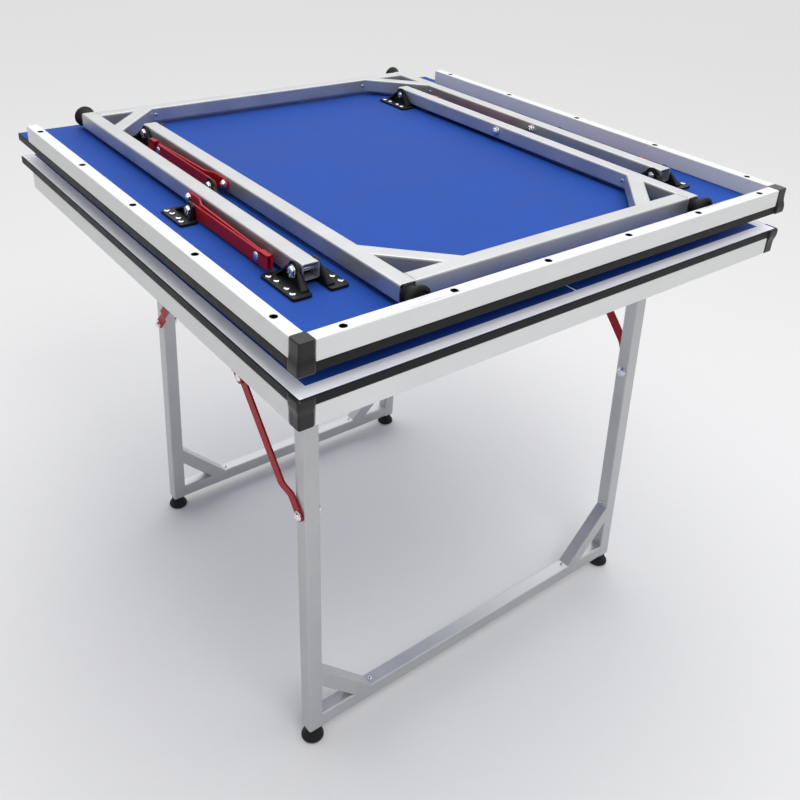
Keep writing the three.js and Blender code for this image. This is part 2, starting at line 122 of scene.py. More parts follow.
class Nodes:
    """A small helper that adds and wires the nodes of one material."""

    def __init__(self, name):
        self.material = bpy.data.materials.new(name)
        self.material.use_nodes = True
        self.tree = self.material.node_tree
        self.shader = self.tree.nodes["Principled BSDF"]
        coordinates = self.tree.nodes.new("ShaderNodeTexCoord")
        self.place = coordinates.outputs["Object"]

    def link(self, source, target):
        self.tree.links.new(source, target)

    def noise(self, scale, detail=4.0, roughness=0.55, stretch=None):
        """Noise in object space. scale is in cycles per metre; stretch squeezes it along the axes."""
        texture = self.tree.nodes.new("ShaderNodeTexNoise")
        texture.inputs["Scale"].default_value = scale
        texture.inputs["Detail"].default_value = detail
        texture.inputs["Roughness"].default_value = roughness
        place = self.place
        if stretch:
            mapping = self.tree.nodes.new("ShaderNodeMapping")
            mapping.inputs["Scale"].default_value = stretch
            self.link(self.place, mapping.inputs["Vector"])
            place = mapping.outputs["Vector"]
        self.link(place, texture.inputs["Vector"])
        return texture.outputs["Fac"]

    def ramp(self, factor, stops):
        """Colour ramp through (position, colour) stops."""
        ramp = self.tree.nodes.new("ShaderNodeValToRGB")
        elements = ramp.color_ramp.elements
        while len(elements) < len(stops):
            elements.new(0.5)
        for element, (position, color) in zip(elements, stops):
            element.position = position
            element.color = (*color, 1)
        self.link(factor, ramp.inputs["Fac"])
        return ramp.outputs["Color"]

    def spread(self, factor, low, high):
        """Maps a factor's middle range, 0.3 to 0.7, to low..high."""
        node = self.tree.nodes.new("ShaderNodeMapRange")
        node.inputs["From Min"].default_value = 0.3
        node.inputs["From Max"].default_value = 0.7
        node.inputs["To Min"].default_value = low
        node.inputs["To Max"].default_value = high
        self.link(factor, node.inputs["Value"])
        return node.outputs["Result"]

    def bump(self, height, distance):
        """Bump of the given depth in metres."""
        node = self.tree.nodes.new("ShaderNodeBump")
        node.inputs["Distance"].default_value = distance
        node.inputs["Strength"].default_value = 1.0
        self.link(height, node.inputs["Height"])
        return node.outputs["Normal"]

    def set(self, **values):
        for key, value in values.items():
            self.shader.inputs[key.replace("_", " ")].default_value = value


def tint(color, factor):
    return tuple(min(1.0, c * factor) for c in color)


def coated(name, color, roughness, patches, grain, depth, metallic=0.0, vary=0.06, shine=0.5):
    """Paint, powder coat or plastic: slow colour patches, a fine grain in the colour, gloss and surface.
    patches and grain are in cycles per metre, depth is the grain's height in metres, and shine is the
    specular level."""
    nodes = Nodes(name)
    slow = nodes.noise(patches, detail=3)
    fine = nodes.noise(grain, detail=2, roughness=0.6)
    shade = nodes.tree.nodes.new("ShaderNodeMix")
    shade.data_type = "RGBA"
    shade.blend_type = "MULTIPLY"
    shade.inputs["Factor"].default_value = 1
    slow_color = nodes.ramp(slow, [(0.3, tint(color, 1 - vary)), (0.7, tint(color, 1 + vary))])
    fine_color = nodes.ramp(fine, [(0.35, (1 - vary,) * 3), (0.65, (1, 1, 1))])
    nodes.link(slow_color, shade.inputs["A"])
    nodes.link(fine_color, shade.inputs["B"])
    nodes.link(shade.outputs["Result"], nodes.shader.inputs["Base Color"])
    nodes.link(nodes.spread(slow, roughness - 0.05, roughness + 0.06), nodes.shader.inputs["Roughness"])
    nodes.link(nodes.bump(fine, depth), nodes.shader.inputs["Normal"])
    nodes.set(Metallic=metallic, Specular_IOR_Level=shine)
    return nodes.material


def plated(name, color, roughness, stretch=(1, 1, 1)):
    """Zinc-plated steel: bright metal with faint cloudy patches and fine drawing marks."""
    nodes = Nodes(name)
    cloud = nodes.noise(160, detail=4)
    marks = nodes.noise(1400, detail=2, stretch=stretch)
    nodes.link(
        nodes.ramp(cloud, [(0.3, tint(color, 0.86)), (0.7, color)]),
        nodes.shader.inputs["Base Color"],
    )
    nodes.link(nodes.spread(cloud, roughness - 0.06, roughness + 0.08), nodes.shader.inputs["Roughness"])
    nodes.link(nodes.bump(marks, 0.00002), nodes.shader.inputs["Normal"])
    nodes.set(Metallic=1.0)
    return nodes.material


def make_materials():
    black = (0.008, 0.008, 0.0085)
    return {
        "board": coated(
            "blue_board_paint", (0.019, 0.070, 0.345), 0.6, 9, 1500, 0.00004, vary=0.07, shine=0.07
        ),
        "line": coated("white_line_paint", (0.93, 0.94, 0.97), 0.45, 30, 1500, 0.00003, vary=0.02),
        "edge_band": coated("black_edge_band", black, 0.5, 60, 1800, 0.00004, vary=0.15, shine=0.2),
        "rail": coated(
            "pale_rail_coat", (0.72, 0.725, 0.73), 0.42, 14, 2600, 0.00002, vary=0.025, shine=0.4
        ),
        "corner_cap": coated("black_cap_plastic", black, 0.3, 70, 2000, 0.00003, vary=0.12, shine=0.35),
        "frame_tube": coated(
            "silver_tube_coat", (0.54, 0.545, 0.555), 0.42, 16, 2600, 0.00003, metallic=0.8, vary=0.05
        ),
        "foot": coated("black_foot_rubber", (0.012,) * 3, 0.62, 80, 1400, 0.00008, vary=0.2, shine=0.25),
        "bracket": coated("black_bracket_plastic", black, 0.4, 80, 1600, 0.00005, vary=0.15, shine=0.25),
        "stay": coated(
            "red_stay_coat", (0.38, 0.010, 0.018), 0.42, 40, 2200, 0.00003, vary=0.08, shine=0.2
        ),
        "hinge_steel": plated("zinc_hinge_strip", (0.66, 0.67, 0.69), 0.34, (0.05, 1, 1)),
        "zinc": plated("zinc_fastener", (0.86, 0.87, 0.89), 0.22),
        # Near-black paint used as painted shade: in the screws' cross recesses and in cups that fill the rail
        # holes.
        "dark": coated("painted_recess_shade", (0.006,) * 3, 0.5, 90, 1500, 0.00003, vary=0.2, shine=0.1),
    }


# ---------------------------------------------------------------- mesh helpers


def turned(shape, profile, matrix, segments=32):
    """Adds a closed solid of revolution: profile is (radius, height) in mm, from axis to axis, about Z."""
    rings = []
    for radius, height in profile:
        if radius < 1e-6:
            rings.append([shape.verts.new(matrix @ Vector((0, 0, height * MM)))])
            continue
        ring = []
        for i in range(segments):
            angle = 2 * math.pi * i / segments
            point = Vector((radius * math.cos(angle), radius * math.sin(angle), height)) * MM
            ring.append(shape.verts.new(matrix @ point))
        rings.append(ring)
    for low, high in zip(rings, rings[1:]):
        for i in range(segments):
            j = (i + 1) % segments
            corners = [low[i % len(low)], low[j % len(low)], high[j % len(high)], high[i % len(high)]]
            unique = list(dict.fromkeys(corners))
            if len(unique) > 2:
                shape.faces.new(unique)


def prism(shape, outline, low, high, matrix):
    """Adds a closed prism: outline is a list of (x, y) in mm, swept along Z from low to high in mm. high
    may be a list with one height for each point, all in one plane."""
    tops = high if isinstance(high, list) else [high] * len(outline)
    bottom = [shape.verts.new(matrix @ (Vector((x, y, low)) * MM)) for x, y in outline]
    top = [shape.verts.new(matrix @ (Vector((x, y, z)) * MM)) for (x, y), z in zip(outline, tops)]
    shape.faces.new(list(reversed(bottom)))
    shape.faces.new(top)
    count = len(outline)
    for i in range(count):
        j = (i + 1) % count
        shape.faces.new([bottom[i], bottom[j], top[j], top[i]])


def box(shape, low, high, matrix=Matrix.Identity(4)):
    """Adds a closed block between two corners in mm."""
    outline = [(low[0], low[1]), (high[0], low[1]), (high[0], high[1]), (low[0], high[1])]
    prism(shape, outline, low[2], high[2], matrix)


def arc(center, radius, start, end, steps):
    """Points of an arc, angles in degrees."""
    points = []
    for i in range(steps + 1):
        angle = math.radians(start + (end - start) * i / steps)
        points.append((center[0] + radius * math.cos(angle), center[1] + radius * math.sin(angle)))
    return points


def rounded_rectangle(x0, y0, x1, y1, radius, steps=5):
    points = []
    for center, start in (
        ((x1 - radius, y0 + radius), -90),
        ((x1 - radius, y1 - radius), 0),
        ((x0 + radius, y1 - radius), 90),
        ((x0 + radius, y0 + radius), 180),
    ):
        points += arc(center, radius, start, start + 90, steps)
    return points


def finish_piece(name, shape, materials, body, bevel=0.0, angle=35):
    """Turns a bmesh into a piece that rides on a body, with rounded edges and smooth shading."""
    bmesh.ops.recalc_face_normals(shape, faces=shape.faces)
    mesh = bpy.data.meshes.new(name)
    shape.to_mesh(mesh)
    shape.free()
    for material in materials:
        mesh.materials.append(material)
    piece = bpy.data.objects.new(name, mesh)
    bpy.context.scene.collection.objects.link(piece)
    mesh.shade_smooth()
    mesh.set_sharp_from_angle(angle=math.radians(angle))
    if bevel:
        add_bevel(piece, bevel)
    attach(piece, body)
    return piece


def add_bevel(piece, width, angle=38):
    bevel = piece.modifiers.new("rounded_edges", "BEVEL")
    bevel.width = width
    bevel.segments = 2
    bevel.limit_method = "ANGLE"
    bevel.angle_limit = math.radians(angle)
    bevel.harden_normals = False
    bevel.use_clamp_overlap = True


def dress_cad_node(node, material, bevel=0.0, angle=30):
    """Gives a kept CAD node its material, welded vertices and softly rounded edges."""
    piece = frame["nodes"][node]
    piece.data.materials.clear()
    piece.data.materials.append(material)
    weld = piece.modifiers.new("welded", "WELD")
    weld.merge_threshold = 0.00002
    if bevel:
        add_bevel(piece, bevel, angle=angle)
    normals = piece.modifiers.new("even_normals", "WEIGHTED_NORMAL")
    normals.keep_sharp = True


# ---------------------------------------------------------------- places


def joint_named(name):
    return next(j for j in frame["joints"] if j["name"] == name)


def signs(place, half):
    """Which way a station's y and z run in the world, as 1 or -1."""
    return (1 if place == "front" else -1), (1 if half == "upper" else -1)


def facing(up):
    """Leaves Z as it is where up is 1, and turns it down where up is -1."""
    return Matrix.Identity(4) if up > 0 else Matrix.Rotation(math.pi, 4, "X")


def station_matrix(place, half):
    """Axes of a leg station at its hinge pin's middle: x sideways, y to the folded foot, z off the board."""
    along, up = signs(place, half)
    axes = Matrix(((along * up, 0, 0), (0, along, 0), (0, 0, up))).to_4x4()
    pivot = joint_named(f"legs_{place}_{half}_fold")["pos_m"]
    return Matrix.Translation(pivot) @ axes


def label_of(place, half, side):
    """The end of a piece's name: which side of the table it is on, its place and its half."""
    along, up = signs(place, half)
    name = "left" if side * along * up < 0 else "right"
    return f"{name}_{place}_{half}"


def leg_angle(place, half):
    """How far a leg stands away from its folded place, in radians."""
    if half == "upper":
        return 0.0
    return math.radians(joint_named(f"legs_{place}_upper_fold")["range_deg"][1])


def outside_of(place):
    """Half the distance over the two tubes of a frame, in mm."""
    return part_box(f"leg_frame_{place}_upper")[1].x / MM


def lane_matrix(base, x, side):
    """Z runs outwards along the station's x from x (mm), and the plane is the station's y and z."""
    turn = Matrix(((0, 0, side), (1, 0, 0), (0, side, 0))).to_4x4()
    return base @ Matrix.Translation((x * MM, 0, 0)) @ turn


# ---------------------------------------------------------------- fasteners


def hexagon(radius):
    return [
        (radius * math.cos(math.radians(60 * i + 30)), radius * math.sin(math.radians(60 * i + 30)))
        for i in range(6)
    ]


def add_shank(shape, matrix, radius, length, segments):
    """Adds a plain round pin from Z = 0 up."""
    turned(shape, [(0, 0), (radius, 0), (radius, length), (0, length)], matrix, segments)


def add_washer(shape, matrix, radius):
    inner = radius - 0.3
    turned(shape, [(0, 0), (inner, 0), (radius, 0.3), (radius, 0.9), (inner, 1.2), (0, 1.2)], matrix)


def bolt_head(shape, matrix, radius, high, washer):
    """Washer, hexagon head and its domed top, standing on Z = 0."""
    add_washer(shape, matrix, washer)
    prism(shape, hexagon(radius), 1.1, high - 0.7, matrix)
    crown = [(0, high - 1.0), (radius * 0.86, high - 1.0), (radius * 0.84, high - 0.5)]
    crown += [(radius * 0.7, high), (0, high + 0.15)]
    turned(shape, crown, matrix, 24)


def lock_nut(shape, matrix, radius, high, washer, stud):
    """Washer, hexagon nut with its collar, and the bolt's end."""
    add_washer(shape, matrix, washer)
    prism(shape, hexagon(radius), 1.1, high - 1.6, matrix)
    collar = [(0, high - 2.0), (radius * 0.86, high - 2.0), (radius * 0.8, high - 0.6)]
    collar += [(radius * 0.66, high - 0.1), (stud + 0.5, high - 0.1), (0, high - 0.1)]
    turned(shape, collar, matrix, 24)
    tip = [(0, high - 0.4), (stud, high - 0.4), (stud, high + 0.4), (stud - 0.6, high + 0.9), (0, high + 0.9)]
    turned(shape, tip, matrix, 20)


def rivet_head(shape, matrix, radius, high):
    """Low domed rivet head on Z = 0."""
    profile = [(0, 0), (radius, 0), (radius, 0.5)]
    profile += [(radius * math.cos(a), 0.5 + (high - 0.5) * math.sin(a)) for a in (0.35, 0.7, 1.05, 1.35)]
    profile.append((0, high))
    turned(shape, profile, matrix, 28)


def screw_head(shape, matrix, radius=4.4, high=2.4):
    """Pan-head screw with a cross recess, standing on Z = 0. The recess is the second material, near-black:
    painted shade in the recess.
    """
    profile = [(0, 0), (radius, 0), (radius, 0.5)]
    profile += [(radius * 0.93, high * 0.7), (radius * 0.7, high * 0.95), (0, high)]
    turned(shape, profile, matrix, 24)
    first = len(shape.faces)
    arm, width = radius * 0.55, radius * 0.17
    box(shape, (-arm, -width, high * 0.5), (arm, width, high * 1.0 + 0.05), matrix)
    box(shape, (-width, -arm, high * 0.5), (width, arm, high * 1.0 + 0.05), matrix)
    shape.faces.ensure_lookup_table()
    for face in shape.faces[first:]:
        face.material_index = 1


# ---------------------------------------------------------------- brackets


def bracket_body(shape, base, near, out, long, shift, lift):
    """Moulded bracket: base plate, triangular web, its two flared flanges and the boss round the pin."""
    plate, ear, wide = BRACKET["plate"], BRACKET["ear"], BRACKET["wide"]
    apex, inset, rib = BRACKET["apex"], BRACKET["inset"], BRACKET["rib"]
    floor = SEAT_GAP - lift
    x0, x1 = sorted((near, near + out * wide))
    outline = rounded_rectangle(x0, shift - long / 2, x1, shift + long / 2, 4)
    prism(shape, outline, floor, floor + plate, base)

    reach = long / 2 - inset
    ends = (shift - reach, shift + reach)
    slopes = [math.degrees(math.atan2(apex - 2, abs(end))) for end in ends]
    web = [(ends[0], floor + 1), (ends[1], floor + 1), (ends[1], floor + plate + 2)]
    web += arc((0, 0), apex, slopes[1], 180 - slopes[0], 14)
    web.append((ends[0], floor + plate + 2))
    lane = lane_matrix(base, near, out)
    prism(shape, [(y, z * out) for y, z in web], 0, ear, lane)

    for end, slope in zip(ends, slopes):
        s = math.copysign(1, end)
        top = (s * apex * math.cos(math.radians(slope)), apex * math.sin(math.radians(slope)))
        flange = [
            (end - s * 4, floor + 1),
            (end, floor + 1),
            (end, floor + plate + 2),
            top,
            (top[0] - s * 3, top[1] - 1),
            (end - s * 4, floor + plate + 1),
        ]
        flare = [rib + 0.35 * (top[1] - z) for _, z in flange]
        prism(shape, [(y, z * out) for y, z in flange], 0.2, flare, lane)
    boss = [(0, ear - 0.5), (BOSS_RADIUS, ear - 0.5), (BOSS_RADIUS, ear + 0.9)]
    boss += [(BOSS_RADIUS - 0.5, ear + 1.3), (0, ear + 1.3)]
    turned(shape, boss, lane, 32)


def screws_on_base(shape, base, near, out, long, shift, lift):
    """Four screws in the plate, the middle two set further out to clear the web."""
    top = SEAT_GAP - lift + BRACKET["plate"]
    scale = long / HINGE_BASE["long"]
    for y, x in BASE_SCREWS:
        spot = base @ Matrix.Translation(Vector((near + out * x, shift + y * scale, top)) * MM)
        screw_head(shape, spot)


def make_hinge(place, half, side):
    """Two brackets, the pin between them with its head and nut, and the screws."""
    label = label_of(place, half, side)
    node = f"hinge_brackets_{label}"
    body = f"{half}_half"
    base = station_matrix(place, half)
    outside = outside_of(place)
    outer = side * (outside + 0.4)
    inner = side * (outside - TUBE / MM - 0.4)
    ear = BRACKET["ear"]

    for which, near, out in (("outer", outer, side), ("inner", inner, -side)):
        shape = bmesh.new()
        bracket_body(shape, base, near, out, **HINGE_BASE)
        name = f"hinge_bracket_{which}_{label}"
        piece = finish_piece(name, shape, [MATERIAL["bracket"]], body, 0.0007)
        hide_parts(node)

    shape = bmesh.new()
    pin_length = abs(outer - inner) + 2 * ear
    add_shank(shape, lane_matrix(base, inner - side * ear, side), PIN_RADIUS, pin_length, 20)
    bolt_head(shape, lane_matrix(base, outer + side * (ear + 1.2), side), **HINGE_HEAD)
    lock_nut(shape, lane_matrix(base, inner - side * (ear + 0.1), -side), **HINGE_NUT)
    finish_piece(f"hinge_bolt_{label}", shape, [MATERIAL["zinc"]], body, 0.0003)

    shape = bmesh.new()
    for near, out in ((outer, side), (inner, -side)):
        screws_on_base(shape, base, near, out, **HINGE_BASE)
    finish_piece(f"hinge_screws_{label}", shape, [MATERIAL["zinc"], MATERIAL["dark"]], body)


def make_stay_bracket(place, half, side):
    """The bracket that holds the stay's arm, its bolt and its screws."""
    label = label_of(place, half, side)
    body = f"{half}_half"
    pin = Vector(joint_named(f"arms_{place}_{half}_swing")["pos_m"])
    base = station_matrix(place, half)
    base = Matrix.Translation(pin - base.translation) @ base
    lane = side * (outside_of(place) + LANE["ear"])
    ear = BRACKET["ear"]

    shape = bmesh.new()
    bracket_body(shape, base, lane, side, **STAY_BASE)
    piece = finish_piece(f"stay_mount_{label}", shape, [MATERIAL["bracket"]], body, 0.0007)
    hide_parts(f"stay_bracket_{label}")

    shape = bmesh.new()
    inner = side * (outside_of(place) + LANE["arm"] - 0.2)
    shank = abs(lane - inner) + ear
    add_shank(shape, lane_matrix(base, inner, side), PIN_RADIUS, shank, 20)
    rivet_head(shape, lane_matrix(base, inner, -side), 5.4, 2.4)
    bolt_head(shape, lane_matrix(base, lane + side * (ear + 1.1), side), **STAY_HEAD)
    finish_piece(f"stay_pin_{label}", shape, [MATERIAL["zinc"]], body, 0.0003)

    shape = bmesh.new()
    screws_on_base(shape, base, lane, side, **STAY_BASE)
    finish_piece(f"stay_screws_{label}", shape, [MATERIAL["zinc"], MATERIAL["dark"]], body)


# ---------------------------------------------------------------- stays


def stay_layout(place, half):
    """The arm's length and both parts' directions at rest, in the station's y and z."""
    base = station_matrix(place, half)
    to_station = base.inverted()
    pin = to_station @ Vector(joint_named(f"arms_{place}_{half}_swing")["pos_m"])
    elbow = to_station @ Vector(joint_named(f"bars_{place}_{half}_swing")["pos_m"])
    turn = leg_angle(place, half)
    bolt = Vector((0, math.cos(turn), math.sin(turn))) * LEG_BOLT[place]
    return base, pin, elbow, bolt


def strip_frame(base, start, end):
    """Axes with Y along the strip from start to end, X sideways as in the station."""
    angle = math.atan2(end.z - start.z, end.y - start.y)
    return base @ Matrix.Translation(start) @ Matrix.Rotation(angle, 4, "X"), (end - start).length / MM


def make_stay(place, half, side):
    """Arm: flat strip from the bracket's pin to the elbow, with the elbow's rivet. The bar goes with it."""
    label = label_of(place, half, side)
    base, pin, elbow, bolt = stay_layout(place, half)
    outside = outside_of(place)
    half_wide = STAY["width"] / 2
    thick = STAY["thick"]

    arm_base, arm_length = strip_frame(base, pin, elbow)
    body = f"arms_{place}_{half}"
    shape = bmesh.new()
    outline = arc((arm_length, 0), half_wide, -90, 90, 16) + arc((0, 0), half_wide, 90, 270, 16)
    prism(shape, outline, 0, thick, lane_matrix(arm_base, side * (outside + LANE["arm"]), side))
    piece = finish_piece(f"stay_strip_{label}", shape, [MATERIAL["stay"]], body, 0.0006)
    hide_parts(f"stay_arm_{label}")

    shape = bmesh.new()
    elbow_base = arm_base @ Matrix.Translation((0, arm_length * MM, 0))
    outer, inner = side * (outside + LANE["arm"] + thick), side * (outside + LANE["bar"])
    rivet_head(shape, lane_matrix(elbow_base, outer, side), 6.2, 2.4)
    add_shank(shape, lane_matrix(elbow_base, inner, side), 3.4, 7, 16)
    rivet_head(shape, lane_matrix(elbow_base, inner - side * 0.1, -side), 5.4, 2.0)
    finish_piece(f"elbow_rivet_{label}", shape, [MATERIAL["zinc"]], body)

    make_bar(place, half, side, label, strip_frame(base, elbow, bolt))


def make_bar(place, half, side, label, placed):
    """Bar: from the elbow to the leg's bolt, stepped in near the bolt, with its tail past the elbow folded
    into a channel that the arm closes into."""
    bar_base, length = placed
    outside = outside_of(place)
    thick, tail, mouth = STAY["thick"], STAY["tail"], -STAY["channel_start"]
    low = STAY["width"] / 2 - 1
    body = f"bars_{place}_{half}"

    # Stations along the strip: y, how far out its near face is, and half its width.
    path = [(-tail, LANE["bar"], low), (-tail / 2, LANE["bar"], low)]
    start, end = length - STAY["jog_start"], length - STAY["jog_end"]
    path.append((start - 6, LANE["bar"], low))
    for i in range(9):
        t = i / 8
        ease = t * t * (3 - 2 * t)
        path.append((start + (end - start) * t, LANE["bar"] + (LANE["leg"] - LANE["bar"]) * ease, low))
    path.append((length, LANE["leg"], low))
    for i in range(1, 9):
        angle = math.radians(90 * i / 8)
        width = max(low * math.cos(angle), 0.6)
        path.append((length + low * math.sin(angle), LANE["leg"], width))

    shape = bmesh.new()
    rings = []
    for y, lane, width in path:
        ring = []
        for depth, z in ((0, -width), (thick, -width), (thick, width), (0, width)):
            point = Vector((side * (outside + lane + depth), y, z)) * MM
            ring.append(shape.verts.new(bar_base @ point))
        rings.append(ring)
    for a, b in zip(rings, rings[1:]):
        for i in range(4):
            j = (i + 1) % 4
            shape.faces.new([a[i], a[j], b[j], b[i]])
    shape.faces.new(list(reversed(rings[0])))
    shape.faces.new(rings[-1])

    # The tail's channel: the strip's edge turns over the arm and down its far side.
    clearance = 0.7
    lift = STAY["width"] / 2 + clearance
    flange = LANE["arm"] + thick + clearance
    lane_out = lane_matrix(bar_base, side * outside, side)
    sheet = 2.4
    for start, end, low_z, lane_0, lane_1 in (
        (-tail, mouth, low - 1.2, LANE["bar"], LANE["bar"] + thick - 0.1),
        (-tail, mouth, lift, LANE["bar"], flange + sheet),
        (-tail, mouth - 2, -6, flange, flange + sheet),
    ):
        box(shape, (start, side * low_z, lane_0), (end, side * (lift + sheet), lane_1), lane_out)
    piece = finish_piece(f"stay_channel_{label}", shape, [MATERIAL["stay"]], body, 0.0005)
    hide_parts(f"stay_bar_{label}")

    shape = bmesh.new()
    bolt_spot = bar_base @ Matrix.Translation((0, length * MM, 0))
    nut_spot = lane_matrix(bolt_spot, side * (outside + LANE["leg"] + thick), side)
    lock_nut(shape, nut_spot, **BAR_NUT)
    finish_piece(f"leg_bolt_{label}", shape, [MATERIAL["zinc"]], body, 0.0003)


# ---------------------------------------------------------------- frames and feet


def swing_matrix(place, half):
    """Station axes turned with the leg: y runs down the leg."""
    return station_matrix(place, half) @ Matrix.Rotation(leg_angle(place, half), 4, "X")


def make_foot(place, half, side):
    """Round rubber foot: collar against the tube, waist, and a broad pad with a rounded lip and hollow
    sole."""
    label = label_of(place, half, side)
    leg = swing_matrix(place, half)
    length = foot_start(place)
    x = side * (outside_of(place) - TUBE / MM / 2)
    spot = leg @ Matrix.Translation(Vector((x, length, 0)) * MM) @ Matrix.Rotation(-math.pi / 2, 4, "X")
    shape = bmesh.new()
    profile = [(0, 0.3), (12.3, 0.3), (12.6, 0.8), (12.6, 2.4), (12.0, 3.0), (10.6, 3.6), (10.2, 5.0)]
    profile += [(10.6, 6.6), (13.0, 11.5), (16.6, 17.6), (17.7, 19.4), (18, 21), (17.9, 22.8)]
    profile += [(17.2, 23.7), (16.4, 24)]
    profile += [(13.2, 24), (12.6, 23.4), (12.2, 21.5), (0, 21.2)]
    turned(shape, profile, spot, 48)
    body = f"legs_{place}_{half}"
    piece = finish_piece(f"foot_pad_{label}", shape, [MATERIAL["foot"]], body, angle=50)
    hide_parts(f"foot_{label}")


def foot_start(place):
    """Distance from hinge pin to tube end, in mm, read from the folded frame."""
    low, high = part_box(f"leg_frame_{place}_upper")
    pivot = joint_named(f"legs_{place}_upper_fold")["pos_m"][1]
    reach = high.y - pivot if place == "front" else pivot - low.y
    return reach / MM


def make_welds(place, half):
    """Thin weld beads where the cross tube meets the legs, the gussets' small screws, and the nuts on the
    legs' bolts.
    """
    leg = swing_matrix(place, half)
    length = foot_start(place)
    inner = outside_of(place) - TUBE / MM
    tube = TUBE / MM
    middle = length - tube / 2
    body = f"legs_{place}_{half}"
    shape = bmesh.new()
    for side in (-1, 1):
        joint_x = side * inner
        for z in (-tube / 2, tube / 2):
            bead(shape, leg, (joint_x, middle - tube / 2 + 2, z), (joint_x, middle + tube / 2 - 2, z))
        bead(shape, leg, (joint_x, length - 0.2, -tube / 2 + 2), (joint_x, length - 0.2, tube / 2 - 2))
    finish_piece(f"weld_beads_{place}_{half}", shape, [MATERIAL["frame_tube"]], body, angle=60)

    shape = bmesh.new()
    for side in (-1, 1):
        leg_spot = Vector((side * inner, middle - tube / 2 - GUSSET_OUTER / MM - 4, 0)) * MM
        inwards = Matrix.Rotation(-side * math.pi / 2, 4, "Y")
        screw_head(shape, leg @ Matrix.Translation(leg_spot) @ inwards, 3.2, 2.0)
        cross_spot = Vector((side * (inner - GUSSET_OUTER / MM - 4), middle - tube / 2, 0)) * MM
        upwards = Matrix.Rotation(math.pi / 2, 4, "X")
        screw_head(shape, leg @ Matrix.Translation(cross_spot) @ upwards, 3.2, 2.0)
    materials = [MATERIAL["zinc"], MATERIAL["dark"]]
    finish_piece(f"gusset_screws_{place}_{half}", shape, materials, body)

    shape = bmesh.new()
    for side in (-1, 1):
        spot = Vector((side * (inner - 0.1), LEG_BOLT[place] / MM, 0)) * MM
        inwards = Matrix.Rotation(-side * math.pi / 2, 4, "Y")
        lock_nut(shape, leg @ Matrix.Translation(spot) @ inwards, **LEG_NUT)
    finish_piece(f"leg_nuts_{place}_{half}", shape, [MATERIAL["zinc"]], body, 0.0003)


def bead(shape, matrix, start, end):
    """Adds a lumpy bead from start to end (mm), half sunk in the metal."""
    a, b = Vector(start) * MM, Vector(end) * MM
    steps = max(6, int((b - a).length / (1.6 * MM)))
    rings = []
    for i in range(steps + 1):
        t = i / steps
        center = a.lerp(b, t)
        size = BEAD_RADIUS * (0.75 + 0.25 * abs(math.sin(i * 1.7))) * MM
        if i in (0, steps):
            size *= 0.3
        direction = (b - a).normalized()
        side = direction.orthogonal().normalized()
        up = direction.cross(side)
        ring = []
        for k in range(BEAD_SIDES):
            angle = 2 * math.pi * k / BEAD_SIDES
            offset = size * (math.cos(angle) * side + math.sin(angle) * up)
            ring.append(shape.verts.new(matrix @ (center + offset)))
        rings.append(ring)
    for low, high in zip(rings, rings[1:]):
        for k in range(BEAD_SIDES):
            j = (k + 1) % BEAD_SIDES
            shape.faces.new([low[k], low[j], high[j], high[k]])
    shape.faces.new(list(reversed(rings[0])))
    shape.faces.new(rings[-1])


# ---------------------------------------------------------------- boards and rails


def make_lines(half):
    """White lines painted on the playing face: round the three outer edges, and one down the middle."""
    low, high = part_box(f"board_{half}")
    face = low.z if half == "upper" else high.z
    lift = -PAINT_THICKNESS if half == "upper" else PAINT_THICKNESS
    z0, z1 = sorted((face / MM, face / MM + lift))
    x0, y0 = low.x / MM, low.y / MM
    x1, y1 = high.x / MM, high.y / MM
    width, thin = LINE_WIDTH, CENTRE_LINE_WIDTH
    shape = bmesh.new()
    box(shape, (x0, y0, z0), (x1, y0 + width, z1))
    box(shape, (x0, y0 + width, z0), (x0 + width, y1, z1))
    box(shape, (x1 - width, y0 + width, z0), (x1, y1, z1))
    box(shape, (-thin / 2, y0 + width, z0), (thin / 2, y1, z1))
    finish_piece(f"white_lines_{half}", shape, [MATERIAL["line"]], f"{half}_half")


def rail_hole_spots(half):
    """World x and y of the holes in the rails, in metres: five along each side and six along the front."""
    side_low, side_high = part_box(f"rail_right_{half}")
    front_low, front_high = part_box(f"rail_front_{half}")
    edge_low, edge_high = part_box(f"edge_band_{half}")
    side_x = (side_low.x + side_high.x) / 2
    front_y = (front_low.y + front_high.y) / 2
    first = edge_low.y + HOLE_END + SIDE_ROW_SHIFT
    run = (edge_high.y - edge_low.y) - RAIL_SETBACK - 2 * HOLE_END + SIDE_ROW_EXTRA
    spots = []
    for i in range(5):
        spots += [(side_x, first + run * i / 4), (-side_x, first + run * i / 4)]
    for i in range(6):
        spots.append((edge_low.x + HOLE_END + (edge_high.x - edge_low.x - 2 * HOLE_END) * i / 5, front_y))
    return spots


def make_rail_hole_shade(half):
    """A near-black cup in every hole of the rails, its floor 8 mm down standing for the screw's sunk head:
    painted shade that keeps the holes dark.
    """
    low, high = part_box(f"rail_front_{half}")
    top = high.z if half == "upper" else low.z
    up = 1 if half == "upper" else -1
    rim = HOLE_RADIUS - 0.15
    inner = HOLE_RADIUS - 0.6
    shape = bmesh.new()
    for x, y in rail_hole_spots(half):
        spot = Matrix.Translation((x, y, top - up * 8 * MM)) @ facing(up)
        turned(shape, [(0, -10), (rim, -10), (rim, 7.7), (inner, 7.7), (inner, 0), (0, 0)], spot, 24)
    finish_piece(f"rail_hole_shade_{half}", shape, [MATERIAL["dark"]], f"{half}_half")


